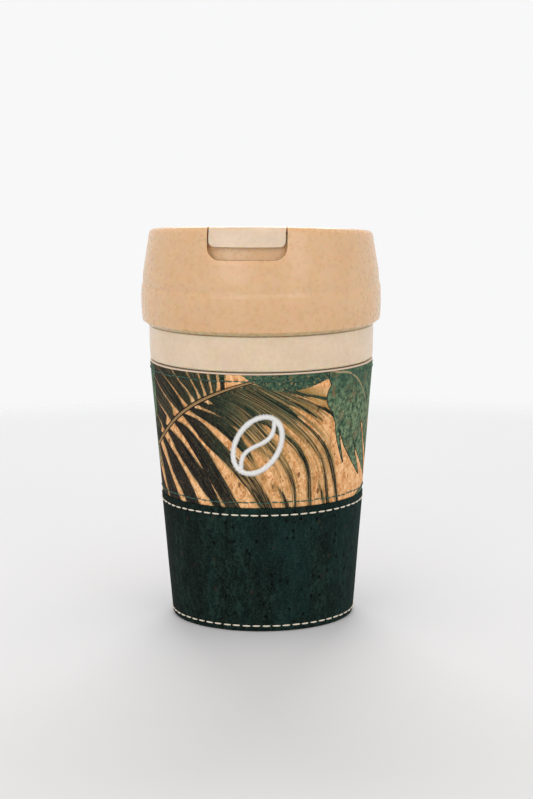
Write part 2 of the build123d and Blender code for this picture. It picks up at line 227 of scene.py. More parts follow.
# ---------------------------------------------------------------- materials
def plastic(name, pale, deep, speck, rough, grain=1.0):
    """Moulded plant-fibre plastic: soft mottling, flecks of husk and a fine skin."""
    g = Graph(name)
    at = g.place()
    cloud = g.noise(at, 95, 4, 0.6)
    fine = g.noise(at, 520, 3, 0.6)
    tone = g.add(g.mul(cloud, 0.5), g.mul(fine, 0.5))
    colour = g.mix(g.step(tone, 0.36, 0.64), deep, pale)
    far, grey = g.cells(at, 560)
    fleck = g.mul(g.step(far, 0.30, 0.10), g.step(grey, 0.86, 0.89))
    colour = g.mix(g.mul(fleck, 0.20 * grain), colour, speck)
    small, grey_small = g.cells(g.scaled(at, (1.0, 1.0, 0.45)), 1300)
    dust = g.mul(g.step(small, 0.34, 0.16), g.step(grey_small, 0.72, 0.78))
    colour = g.mix(g.mul(dust, 0.15 * grain), colour, speck)
    skin = g.noise(at, 2600, 2, 0.6)
    g.bump(g.add(g.mul(skin, 0.7), g.mul(fine, 0.3)), 0.00004, 0.30)
    g.set(
        color=colour,
        roughness=g.add(g.mul(fine, 0.10), rough),
        specular_ior_level=0.60,
        subsurface_weight=0.85,
        subsurface_radius=(1.0, 0.50, 0.22),
        subsurface_scale=0.004,
    )
    return g.material


def silicone(name, tint):
    g = Graph(name)
    at = g.place()
    cloud = g.noise(at, 160, 3)
    g.bump(g.noise(at, 2200, 3), 0.00005, 0.4)
    g.set(
        color=g.mix(cloud, tint, rgb(232, 228, 220)),
        roughness=g.add(g.mul(cloud, 0.15), 0.45),
        specular_ior_level=0.35,
    )
    return g.material


def steel(name):
    g = Graph(name)
    lines = g.noise(g.scaled(g.place(), (40, 2500, 2500)), 1, 3)
    g.bump(lines, 0.00002, 0.5)
    g.set(
        color=g.mix(lines, rgb(150, 150, 150), rgb(205, 205, 205)),
        metallic=1.0,
        roughness=g.add(g.mul(lines, 0.2), 0.25),
    )
    return g.material


WEAVE_RADIUS = 0.04            # mean radius of the cloth, for threads of one width round it


def weave(name, pale, deep, pitch):
    """Plain-weave cloth by two crossing waves in the directions round and up the cup."""
    g = Graph(name)
    x, y, z = g.split(g.place())
    angle = g.math("ARCTAN2", x, y)
    warp = g.math("SINE", g.mul(angle, WEAVE_RADIUS / pitch * 2 * math.pi))
    weft = g.math("SINE", g.mul(z, 2 * math.pi / pitch))
    height = g.add(g.mul(g.mul(warp, weft), 0.5), 0.5)
    fuzz = g.noise(g.place(), 1800, 4, 0.7)
    # The colour follows the weave's height: darker in the dips between the threads, which is painted
    # shade, mixed with random fuzz.
    tone = g.add(g.mul(height, 0.6), g.mul(fuzz, 0.4))
    g.bump(tone, 0.00018, 0.8)
    g.set(
        color=g.mix(g.step(tone, 0.15, 0.75), deep, pale),
        roughness=g.add(g.mul(fuzz, 0.15), 0.8),
        sheen_weight=0.3,
        specular_ior_level=0.2,
    )
    return g.material


def thread(name, pale, deep, sheen, rough):
    """Spun thread: fine slanting fibres and a soft sheen."""
    g = Graph(name)
    along = g.attribute("thread_u")
    across = g.attribute("thread_v")
    slant = g.add(g.mul(along, 9.0), g.mul(across, 3.0))
    fibre = g.noise(g.vector(g.mul(slant, 6.0), across), 3, 3, 0.6)
    fuzz = g.noise(g.place(), 3500, 3, 0.7)
    tone = g.add(g.mul(fibre, 0.6), g.mul(fuzz, 0.4))
    g.bump(tone, 0.00006, 0.7)
    g.set(
        color=g.mix(g.step(tone, 0.25, 0.7), deep, pale),
        roughness=g.add(g.mul(fuzz, 0.15), rough),
        sheen_weight=sheen,
        specular_ior_level=0.35,
    )
    return g.material


def cork_base(g, at, pale, mid, deep, pit):
    """Cork veneer: soft vertical figure, granules, dark lenticels.

    Returns the colour, the relief, the grain's tone and the pits.
    """
    tall = g.scaled(at, (1.0, 1.0, 0.42))
    figure = g.noise(tall, 170, 5, 0.68, 0.8)
    grain = g.noise(tall, 980, 4, 0.76, 0.4)
    sway = g.node("ShaderNodeTexNoise", {"Vector": at, "Scale": 420, "Detail": 2}).outputs["Color"]
    shift = g.node("ShaderNodeVectorMath", {0: sway, "Scale": 0.004}, operation="SCALE").outputs[0]
    bent = g.node("ShaderNodeVectorMath", {0: tall, 1: shift}, operation="ADD").outputs[0]
    _, granule = g.cells(bent, 950)
    tone = g.add(g.mul(figure, 0.42), g.add(g.mul(grain, 0.34), g.mul(granule, 0.24)))
    colour = g.mix(g.step(tone, 0.36, 0.50), deep, mid)
    colour = g.mix(g.step(tone, 0.50, 0.64), colour, pale)
    spot, spot_grey = g.cells(g.scaled(at, (1.0, 1.0, 0.55)), 300)
    ragged = g.add(spot, g.mul(g.sub(grain, 0.5), 0.45))
    lenticel = g.mul(g.step(ragged, 0.24, 0.12), g.step(spot_grey, 0.74, 0.78))
    tiny, tiny_grey = g.cells(g.scaled(at, (1.0, 1.0, 0.6)), 900)
    grit = g.mul(g.step(tiny, 0.36, 0.20), g.step(tiny_grey, 0.76, 0.80))
    holes = g.high(lenticel, g.mul(grit, 0.6))
    colour = g.mix(g.mul(holes, 0.8), colour, pit)
    relief = g.sub(g.mul(tone, 0.8), g.mul(holes, 0.5))
    return colour, relief, tone, holes


def green_cork(name):
    """Cork dyed a very dark green, with a few reddish-brown flecks where it took less."""
    g = Graph(name)
    at = g.place()
    colour, relief, tone, _ = cork_base(
        g, at, rgb(30, 48, 42), rgb(16, 30, 27), rgb(7, 17, 15), rgb(1, 2, 2)
    )
    bands = g.noise(g.scaled(at, (1.0, 1.0, 0.12)), 75, 2, 0.5)
    colour = g.mix(g.mul(g.step(bands, 0.46, 0.62), 0.45), colour, rgb(18, 44, 41))
    colour = g.mix(g.mul(g.step(bands, 0.46, 0.34), 0.45), colour, rgb(8, 13, 12))
    smoke = g.noise(g.scaled(at, (1.0, 1.0, 0.6)), 62, 4, 0.62)
    colour = g.mix(g.mul(g.step(smoke, 0.49, 0.62), 0.55), colour, rgb(9, 15, 14))
    streak = g.noise(g.scaled(at, (1.0, 1.0, 0.16)), 700, 3, 0.7)
    colour = g.mix(g.mul(g.step(streak, 0.52, 0.70), 0.16), colour, rgb(46, 66, 58))
    colour = g.mix(g.mul(g.step(streak, 0.46, 0.32), 0.25), colour, rgb(2, 8, 8))
    dust = g.noise(at, 1700, 3, 0.7)
    colour = g.mix(g.mul(g.step(dust, 0.52, 0.62), 0.30), colour, rgb(50, 72, 62))
    far, grey = g.cells(g.scaled(at, (1.0, 1.0, 0.8)), 340)
    ragged = g.add(far, g.mul(g.sub(g.noise(at, 900, 3, 0.7), 0.5), 0.55))
    pit = g.mul(g.step(ragged, 0.28, 0.16), g.step(grey, 0.62, 0.66))
    colour = g.mix(g.mul(pit, 0.85), colour, rgb(3, 4, 4))
    bare = g.mul(g.step(ragged, 0.30, 0.16), g.step(grey, 0.16, 0.12))
    colour = g.mix(g.mul(bare, 0.45), colour, rgb(58, 42, 34))
    g.bump(relief, 0.00030, 0.6)
    g.set(
        color=colour,
        roughness=g.add(g.mul(tone, 0.20), 0.70),
        specular_ior_level=0.06,
    )
    return g.material


SAGE_DARKENS = (0.088, 0.102)  # heights between which the lobed leaf darkens


def printed_cork(name):
    """Cork printed with palm leaves. The sheet's mesh carries the leaves' layout as fields."""
    g = Graph(name)
    at = g.place()
    cork, relief, tone, holes = cork_base(
        g, at, rgb(247, 198, 147), rgb(229, 173, 118), rgb(200, 137, 84), rgb(112, 56, 32)
    )
    flow = g.attribute("flow")
    along = g.attribute("along")
    ink = g.attribute("ink")
    hatch = g.attribute("hatch")
    far_end = g.step(along, 0.25, 0.85)
    worn = g.noise(at, 1000, 3, 0.7)

    # Streaks that run with the leaflets. The fan closes up towards the frond, so each
    # kind of streak is drawn wider there.
    def streaks(near_scale, far_scale, seed):
        near = g.noise(g.vector(g.mul(flow, near_scale), g.mul(along, 1.6), seed), 1, 3, 0.65)
        far = g.noise(g.vector(g.mul(flow, far_scale), g.mul(along, 2.4), seed), 1, 3, 0.65)
        return g.add(g.mul(near, g.sub(1.0, far_end)), g.mul(far, far_end))

    coarse = streaks(0.40, 0.50, 0.0)
    fine = streaks(1.15, 1.25, 7.0)
    hairline = streaks(2.10, 2.20, 3.0)

    # Leaflets: dark, ragged along their length, with pale hairlines and a green fringe.
    edge = g.add(ink, g.mul(g.sub(coarse, 0.5), g.attribute("bleed")))
    edge = g.add(edge, g.mul(g.sub(worn, 0.5), 0.5))
    leaflet = g.step(edge, -0.12, 0.14)
    shade = g.step(g.add(g.mul(fine, 0.7), g.mul(tone, 0.3)), 0.38, 0.64)
    dark = g.mix(shade, rgb(9, 8, 8), rgb(40, 38, 35))
    greener = g.mix(shade, rgb(8, 19, 16), rgb(50, 76, 57))
    dark = g.mix(g.attribute("green"), dark, greener)
    fringe = g.mul(g.step(edge, -1.20, 0.0), g.step(fine, 0.40, 0.55))
    colour = g.mix(g.mul(fringe, 0.78), cork, rgb(66, 80, 50))

    # Loose hatching in olive, straw and green between the thin blades on the right.
    wash = g.mul(g.step(edge, -4.5, -0.2), g.step(coarse, 0.36, 0.58))
    colour = g.mix(g.mul(g.mul(wash, hatch), 0.55), colour, rgb(176, 130, 66))
    loose = g.mul(g.step(edge, -4.2, -0.3), g.step(fine, 0.50, 0.57))
    colour = g.mix(g.mul(g.mul(loose, hatch), 0.60), colour, rgb(122, 110, 62))
    strands = g.mul(g.step(edge, -4.2, -0.6), g.step(hairline, 0.54, 0.58))
    colour = g.mix(g.mul(g.mul(strands, hatch), 0.76), colour, rgb(42, 54, 38))

    colour = g.mix(leaflet, colour, dark)
    straw = g.mul(hatch, g.add(g.mul(g.step(along, 0.08, 0.36), 0.48), 0.52))
    pale = g.mul(g.step(hairline, 0.54, 0.60), leaflet)
    pale_share = g.add(0.17, g.mul(straw, 0.50))
    colour = g.mix(g.mul(pale, pale_share), colour, rgb(122, 114, 86))
    bright = g.mul(g.mul(g.step(fine, 0.50, 0.56), g.step(hairline, 0.44, 0.53)), leaflet)
    colour = g.mix(g.mul(g.mul(bright, straw), 0.92), colour, rgb(208, 164, 106))

    # The cork's own grain breaks the ink up: bare specks and dark ones.
    speckle = g.noise(at, 1500, 3, 0.75)
    colour = g.mix(g.mul(g.step(speckle, 0.54, 0.64), 0.09), colour, cork)
    colour = g.mix(g.mul(g.step(speckle, 0.45, 0.36), 0.24), colour, rgb(34, 30, 24))

    # The midrib: a pale line between two dark ones.
    rib = g.attribute("rib")
    side = g.math("ABSOLUTE", rib)
    colour = g.mix(g.step(side, 1.10, 0.88), colour, rgb(16, 18, 17))
    rib_tone = g.mix(worn, rgb(122, 92, 58), rgb(190, 156, 110))
    colour = g.mix(g.step(side, 0.56, 0.40), colour, rib_tone)
    groove = g.step(g.math("ABSOLUTE", g.sub(rib, 0.12)), 0.16, 0.06)
    colour = g.mix(g.mul(groove, 0.55), colour, rgb(84, 58, 36))

    # The broad leaf along the top, dark and mottled, and the lobed sage leaf, which is
    # darker towards the top.
    blotch = g.noise(at, 520, 5, 0.78)
    mottled = g.mix(g.step(blotch, 0.38, 0.62), rgb(30, 52, 44), rgb(70, 98, 76))
    mottled = g.mix(g.mul(g.step(worn, 0.56, 0.66), 0.75), mottled, rgb(172, 136, 88))
    mottled = g.mix(g.mul(g.step(worn, 0.42, 0.34), 0.6), mottled, rgb(22, 34, 30))
    top_edge = g.add(g.attribute("top_leaf"), g.mul(g.sub(worn, 0.5), 0.8))
    colour = g.mix(g.step(top_edge, -0.15, 0.15), colour, mottled)
    sage = g.mix(g.step(blotch, 0.36, 0.64), rgb(34, 60, 48), rgb(124, 146, 110))
    sage = g.mix(g.mul(g.step(worn, 0.38, 0.30), 0.65), sage, rgb(16, 28, 24))
    upper = g.step(g.split(at)[2], *SAGE_DARKENS)
    sage = g.mix(g.mul(upper, 0.55), sage, rgb(44, 76, 62))
    brown = g.step(g.noise(at, 210, 4, 0.7), 0.54, 0.66)
    sage = g.mix(g.mul(brown, 0.65), sage, rgb(120, 96, 68))
    off_vein = g.math("ABSOLUTE", g.attribute("vein"))
    sage = g.mix(g.step(off_vein, 0.42, 0.20), sage, rgb(158, 142, 108))
    broad_edge = g.add(g.attribute("broad"), g.mul(g.sub(worn, 0.5), 0.35))
    colour = g.mix(g.step(broad_edge, -0.50, -0.30), colour, rgb(22, 36, 31))
    colour = g.mix(g.step(broad_edge, -0.12, 0.12), colour, sage)

    # The cork's pits stay dark under the ink.
    colour = g.mix(g.mul(holes, 0.30), colour, rgb(50, 34, 26))
    g.bump(relief, 0.00028, 0.6)
    g.set(
        color=colour,
        roughness=g.add(g.mul(tone, 0.25), 0.62),
        specular_ior_level=0.10,
    )
    return g.material


cream_plastic = plastic(
    "cream_plastic", rgb(222, 201, 175), rgb(213, 190, 162), rgb(162, 118, 78), 0.30
)
tan_plastic = plastic(
    "tan_plastic", rgb(214, 176, 135), rgb(209, 169, 125), rgb(170, 114, 60), 0.23, 0.45
)
flap_plastic = plastic(
    "flap_plastic", rgb(216, 196, 172), rgb(208, 185, 159), rgb(156, 112, 76), 0.30
)
inner_plastic = plastic(
    "inner_plastic", rgb(220, 182, 142), rgb(210, 170, 128), rgb(160, 112, 70), 0.45
)
seal_rubber = silicone("seal_rubber", rgb(212, 206, 196))
pad_rubber = silicone("pad_rubber", rgb(196, 186, 172))
pin_steel = steel("pin_steel")
lining_cloth = weave("lining_cloth", rgb(226, 205, 182), rgb(196, 168, 140), 0.7 * MM)
cream_thread = thread("cream_thread", rgb(238, 228, 210), rgb(188, 172, 148), 0.25, 0.55)
green_thread = thread("green_thread", rgb(52, 100, 84), rgb(20, 46, 38), 0.10, 0.6)
white_thread = thread("white_thread", rgb(248, 247, 244), rgb(206, 205, 203), 0.35, 0.38)
dark_cork = green_cork("dark_cork")
palm_cork = printed_cork("palm_cork")


# ---------------------------------------------------------------- the carried-over CAD nodes
SMOOTH_ANGLE = 32.0


def smooth_group():
    """A modifier that joins the facets' corners and smooths all but the sharp edges."""
    group = bpy.data.node_groups.new("smooth_by_angle", "GeometryNodeTree")
    group.interface.new_socket("Geometry", in_out="INPUT", socket_type="NodeSocketGeometry")
    group.interface.new_socket("Geometry", in_out="OUTPUT", socket_type="NodeSocketGeometry")
    nodes = group.nodes
    links = group.links
    start = nodes.new("NodeGroupInput")
    end = nodes.new("NodeGroupOutput")
    merge = nodes.new("GeometryNodeMergeByDistance")
    merge.inputs["Distance"].default_value = 1e-6
    faces = nodes.new("GeometryNodeSetShadeSmooth")
    edges = nodes.new("GeometryNodeSetShadeSmooth")
    edges.domain = "EDGE"
    angle = nodes.new("GeometryNodeInputMeshEdgeAngle")
    compare = nodes.new("FunctionNodeCompare")
    compare.operation = "GREATER_THAN"
    compare.inputs[1].default_value = math.radians(SMOOTH_ANGLE)
    edges.inputs["Shade Smooth"].default_value = False
    links.new(start.outputs[0], merge.inputs["Geometry"])
    links.new(merge.outputs[0], faces.inputs["Geometry"])
    links.new(faces.outputs[0], edges.inputs["Geometry"])
    links.new(angle.outputs["Unsigned Angle"], compare.inputs[0])
    links.new(compare.outputs[0], edges.inputs["Selection"])
    links.new(edges.outputs[0], end.inputs[0])
    return group


smoothing = smooth_group()


def dress(node, material):
    """Gives a CAD node its material and smooth shading."""
    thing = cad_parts[node]
    thing.data.materials.clear()
    thing.data.materials.append(material)
    modifier = thing.modifiers.new("smooth", "NODES")
    modifier.node_group = smoothing


for node in ("rim_ring", "upper_wall_ring", "lower_wall_ring", "base_cup"):
    dress(node, cream_plastic)
for node in ("upper_ring_seal", "lower_ring_seal", "base_seal", "lid_gasket", "flap_seal_ring"):
    dress(node, seal_rubber)
dress("foot_pad", pad_rubber)
dress("lid_shell", tan_plastic)
dress("lid_thread_ring", inner_plastic)
dress("drink_flap", flap_plastic)
dress("flap_hinge_pin", pin_steel)


# ---------------------------------------------------------------- mesh helpers
def make_object(name, points, faces, material, body, stands_for):
    """A smooth-shaded piece that rides on a body in place of CAD nodes."""
    mesh = bpy.data.meshes.new(name)
    mesh.from_pydata([tuple(p) for p in points], [], faces)
    mesh.update()
    mesh.materials.append(material)
    thing = bpy.data.objects.new(name, mesh)
    bpy.context.scene.collection.objects.link(thing)
    mesh.shade_smooth()
    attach(thing, body)
    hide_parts(*stands_for)
    return thing


def store(thing, name, values):
    field = thing.data.attributes.new(name, "FLOAT", "POINT")
    field.data.foreach_set("value", np.asarray(values, np.float32).ravel())


def on_cup(degrees, z, r):
    """The point at an angle round the cup, a height and a radius."""
    turn = np.radians(degrees)
    return np.stack([r * np.sin(turn), -r * np.cos(turn), z + 0 * turn], -1)


def soft_step(value, low, high):
    t = np.clip((value - low) / (high - low), 0, 1)
    return t * t * (3 - 2 * t)


def ripple(degrees, z, seed):
    """A gentle unevenness of a sewn sheet, from -1 to 1."""
    turn = np.radians(degrees)
    high = z / MM
    return (
        np.sin(3 * turn + seed) * np.sin(high / 9 + seed)
        + np.sin(7 * turn + 2 * seed) * np.sin(high / 6 + 1.7 * seed)
        + np.sin(13 * turn + 3 * seed) * np.sin(high / 4.5 + seed)
    ) / 3


def wrapped_sheet(low_z, high_z, proud, thick, cell, rows_at, seed):
    """A sheet wrapped round the cone with its ends butted at the back: points and faces.

    Its outer face is a fine grid that dips along the sewing and rounds off at the edges.
    """
    around = int(2 * math.pi * sleeve_r(high_z) / cell)
    up = int((high_z - low_z) / cell)
    gap = math.degrees(SEAM_HALF / sleeve_r(low_z))
    degrees, z = np.meshgrid(
        np.linspace(-180 + gap, 180 - gap, around + 1), np.linspace(low_z, high_z, up + 1)
    )
    r = sleeve_r(z) + proud + RIPPLE * ripple(degrees, z, seed)
    for row in rows_at:
        r -= SEWN_DIP * np.exp(-(((z - row) / SEWN_DIP_REACH) ** 2))
    end = np.minimum(z - low_z, high_z - z)
    r -= EDGE_DROP * (1 - soft_step(end, 0, EDGE_REACH)) ** 2
    outer = on_cup(degrees, z, r).reshape(-1, 3)
    inner_z = np.array([low_z, high_z])[:, None] + 0 * degrees[:2]
    inner_r = sleeve_r(inner_z) + proud - thick
    inner = on_cup(degrees[:2], inner_z, inner_r).reshape(-1, 3)
    wide = around + 1
    base = len(outer)
    faces = []
    for j in range(up):
        for i in range(around):
            at = j * wide + i
            faces.append((at, at + 1, at + 1 + wide, at + wide))
    top = up * wide
    for i in range(around):
        faces.append((base + i + 1, base + i, base + wide + i, base + wide + i + 1))
        faces.append((base + i, base + i + 1, i + 1, i))
        faces.append((top + i, top + i + 1, base + wide + i + 1, base + wide + i))
    left = [j * wide for j in range(up + 1)]
    right = [j * wide + around for j in range(up + 1)]
    faces.append([base + wide, base] + left)
    faces.append([base + around, base + wide + around] + right[::-1])
    return np.concatenate([outer, inner]), faces, degrees, z


# ---------------------------------------------------------------- the palm print
# The layout is drawn on the sheet, in degrees round the cup and millimetres of
# height, and repeats every half turn. One frond arches from the lower left to the top; its
# leaflets hang to the lower edge in a fan and stand up to the top edge.
REPEAT = 180.0
REPEAT_START = -83.0
MM_PER_DEGREE = 0.745
HEM = 50.6                     # the print's lower and upper edges
HEAD = 104
NOWHERE = -9.0                 # a depth well outside any leaf
FROND_REACH = 1.5              # a line whose top is this near the frond grows out of it
WIDTHS_AT = (0, 0.30, 0.55, 1)           # shares of a hanging line where its widths are given
BASE_AT = ((0, 0.02, 0.09), (0, 0.55, 1))          # how a leaflet opens out below the frond
GAP_WIDTHS_AT = (0, 0.28, 1)
GAP_CUT = 20                   # past its end a gap closes this many times as fast as a leaflet
FLOW_STEP = 10.0               # the grain's number grows by this from one line to the next,
REPEAT_FLOW = 170.0            # and by this from one repeat to the next
CROWN_FLOW = (1.2, 200)        # the standing leaflets' grain is finer, and starts elsewhere

FROND = ((-90, 66), (-75, 70), (-65, 73.4), (-55, 78.3), (-45, 83.8), (-35, 88.8), (-25, 93),
         (-15, 96.5), (-5, 99.4), (4, 101.4))
# Leaflets that reach the lower edge: their middle lines, and half their widths in degrees
# near the frond, a third of the way, half way and at the end. A width below zero keeps the
# ink away, so two of them fade out half way down, and the last one only guides the grain.
LEAFLETS = (
    (((-82, 68.5), (-76, 61), (-66, HEM)), (3.0, 5.0, 6.0, 6.6)),
    (((-70, 73), (-62, 65), (-51.5, HEM)), (2.4, 4.2, 5.0, 6.4)),
    (((-61, 75.8), (-52.5, 70), (-45, 62), (-39, 56), (-35, HEM)), (2.8, 5.0, 6.4, 4.9)),
    (((-54, 79.5), (-46.5, 76), (-36, 68), (-28.5, 62), (-18, HEM)), (3.4, 5.8, 5.6, 2.4)),
    (((-46, 83.5), (-37.5, 80), (-27.5, 72), (-18.5, 62), (-9, HEM)), (4.2, 5.2, 4.9, 4.1)),
    (((-40, 87), (-30, 84), (-19, 76), (-7, 68), (2, 60), (9.5, HEM)), (4.6, 5.8, 4.8, 3.7)),
    (((-34, 89.5), (-22, 87), (-12, 82.5), (-2, 74), (4, 67), (9, 60), (14, HEM)),
     (8.0, 3.6, 0.2, -6)),
    (((-28, 91.8), (-12, 89), (-2, 83.5), (7, 76), (13, 68), (17, 60), (20, HEM)),
     (9.0, 3.6, 0.2, -6)),
    (((-20, 94.6), (-5, 89.5), (11, 76), (18.5, 69), (24, 60), (25.5, HEM)), (9.5, 4.2, 1.4, 0.7)),
    (((-14, 96.5), (2, 91.5), (15.5, 82), (26.5, 74), (32.5, 65), (34.5, HEM)), (9.5, 3.2, 1.2, 0.8)),
    (((-7, 98.3), (10, 91), (23, 84.4), (35, 75), (42.5, 66), (46.5, HEM)), (9.0, 2.6, 0.9, 0.8)),
    (((0, 99.8), (18, 90.4), (33, 82), (42.5, 74), (48.4, 65), (54, HEM)), (7.5, 2.4, 1.4, 1.0)),
    (((14, 100.5), (30, 95.5), (48, 89), (60, 78), (66, 64), (70, HEM)), (-1, -2, -4, -6)),
)
# Shorter blades that end on the way.
BLADES = (
    (((14, 60), (18, 56.5), (21.5, HEM)), (0.2, 0.6, 0.9, 1.4)),
    (((37, 62), (41, 57), (43.5, HEM)), (0.1, 0.3, 0.5, 0.6)),
    (((3, 98.8), (16, 94.2), (30, 89.6), (38, 85.5)), (8.0, 4.5, 2.0, 0.1)),
    (((6, 99.2), (20, 95.6), (32.5, 92), (47, 86.5)), (7.0, 4.5, 2.4, 1.4)),
    (((10, 99), (24, 96.6), (38, 94), (49, 91.5)), (6.0, 4.5, 2.6, 2.0)),
)
# Gaps between the leaflets that stand up from the frond: middle lines and half widths.
CROWN_GAPS = (
    (((-59, 76.8), (-61, 80), (-67, 82.5), (-80, 86)), (4.2, 0.9, 0.3)),
    (((-51, 80.8), (-52, 84), (-61, 88), (-78, 94)), (4.4, 0.9, 0.4)),
    (((-42.5, 85.3), (-44.5, 88), (-52, 92), (-62, 97), (-76, 103.9)), (4.0, 0.8, 0.4)),
    (((-34.5, 89.2), (-38, 92), (-47, 98), (-61, HEAD)), (2.6, 0.8, 0.5)),
    (((-29.5, 91.5), (-33.5, 96), (-39.5, 100), (-45, HEAD)), (2.0, 0.7, 0.5)),
    (((-25.5, 93), (-28.5, 98), (-34, HEAD)), (1.5, 0.6, 0.5)),
    (((-22, 94.2), (-24, 99), (-26.5, HEAD)), (1.2, 0.6, 0.5)),
    (((-18.5, 95.4), (-19.2, 99), (-20.5, HEAD)), (1.1, 0.6, 0.6)),
    (((-15, 96.6), (-14.8, 100), (-15.2, HEAD)), (1.2, 0.9, 0.8)),
)
CROWN_END = -11.5              # from here to the broad leaf the cork is bare
TOP_LEAF_ENDS = (-6, 60)       # where the broad leaf along the top starts and ends,
TOP_LEAF_LOW = (20, 97.2)      # where it hangs lowest,
TOP_LEAF_CURL = (0.0125, 0.0078)         # and how its lower edge curls up on each side
VEIN_START = (52, 103)         # a vein crosses the lobed leaf through here
LOBE_BOW = 0.05                # how far a tapering lobe bends, over its length
# Parts of the lobed leaf: two ends in degrees and millimetres, half width, and whether it
# narrows to a tip.
LOBES = (
    ((54.5, 103), (104, 103), 8.2, False),
    ((52.5, 93.5), (104, 93.5), 7.2, False),
    ((56.0, 87.5), (104, 87.5), 6.6, False),
    ((49.5, 88), (56.5, 66.5), 0.8, True),
    ((53.0, 87), (75.0, 59.5), 3.1, True),
    ((63.5, 87), (89.0, 57.0), 3.8, True),
    ((77.0, 89), (102.0, 56.5), 4.0, True),
    ((90.0, 91), (114.0, 62.0), 4.0, True),
    ((75.0, 49), (96.0, 52.0), 2.4, False),
)


def smooth_line(points):
    """A fine line through a few points, for reading by height."""
    p = np.array(points, float)
    p = np.vstack([2 * p[0] - p[1], p, 2 * p[-1] - p[-2]])
    t = np.linspace(0, 1, 16, endpoint=False)[:, None]
    parts = []
    for before, start, end, after in zip(p, p[1:], p[2:], p[3:]):
        bend = 2 * before - 5 * start + 4 * end - after
        twist = 3 * (start - end) + after - before
        parts.append(start + 0.5 * ((end - before) * t + bend * t**2 + twist * t**3))
    line = np.concatenate(parts + [p[-2:-1]])
    return line[np.argsort(line[:, 1])]


FROND_LINE = smooth_line(FROND)


def frond_z(a):
    return np.interp(a, FROND_LINE[:, 0], FROND_LINE[:, 1])


def along_line(line, z):
    """Angle of a line at heights, and the sine of its steepness."""
    a = np.interp(z, line[:, 1], line[:, 0])
    near = 0.2
    run = np.interp(z + near, line[:, 1], line[:, 0]) - np.interp(z - near, line[:, 1], line[:, 0])
    steep = 1 / np.hypot(1, run / (2 * near) * MM_PER_DEGREE)
    return a, steep


def bundle(lines, a, z, rising):
    """Signed distance, in millimetres, into the nearest of some tapering lines, with the
    grain between them: a number that grows across the lines, and the share along them."""
    heights = z[:, 0]
    frond_a = np.interp(heights, FROND_LINE[:, 1], FROND_LINE[:, 0])
    ink = np.full(a.shape, NOWHERE)
    across = []
    shares = []
    for k, (points, widths) in enumerate(lines):
        line = smooth_line(points)
        middle, steep = along_line(line, heights)
        low, high = line[0, 1], line[-1, 1]
        share = np.clip((heights - low if rising else high - heights) / (high - low), 0, 1)
        beyond = np.maximum(np.maximum(low - heights, heights - high), 0)
        if rising:
            full = np.interp(share, GAP_WIDTHS_AT, widths)[:, None]
            beyond *= GAP_CUT
        else:
            grows = abs(frond_z(line[-1, 0]) - high) < FROND_REACH
            drop = ((frond_z(a) if grows else high) - z) / (high - low)
            full = np.interp(share, WIDTHS_AT, widths)[:, None] * np.interp(drop, *BASE_AT)
        depth = (full - np.abs(a - middle[:, None])) * MM_PER_DEGREE * steep[:, None]
        ink = np.maximum(ink, depth - beyond[:, None])
        outside = heights < low if rising else heights > high
        across.append(np.where(outside, frond_a + 0.01 * k, middle))
        shares.append(share)
    across = np.array(across)
    shares = np.array(shares)
    order = -1 if across[0].mean() > across[-1].mean() else 1
    flow = np.zeros_like(a)
    along = np.zeros_like(a)
    for j in range(a.shape[0]):
        places = np.maximum.accumulate(across[::order, j]) + 1e-5 * np.arange(len(lines))
        flow[j] = np.interp(a[j], places, FLOW_STEP * np.arange(len(lines)))
        along[j] = np.interp(a[j], places, shares[::order, j])
    return ink, flow, along


def lobe_field(a, z):
    """Signed distance, in millimetres, into the broad lobed leaf."""
    best = np.full(a.shape, NOWHERE)
    for (a0, z0), (a1, z1), half, tapers in LOBES:
        ax, ay = (a1 - a0) * MM_PER_DEGREE, z1 - z0
        px, py = (a - a0) * MM_PER_DEGREE, z - z0
        size = math.hypot(ax, ay)
        t = np.clip((px * ax + py * ay) / size**2, 0, 1)
        bow = LOBE_BOW * size * np.sin(math.pi * t) * tapers
        off = np.hypot(px - ax * t - bow * ay / size, py - ay * t + bow * ax / size)
        width = half * np.minimum(1.0, 1.7 * (1 - t)) ** 0.8 if tapers else half
        best = np.maximum(best, width - off)
    return best


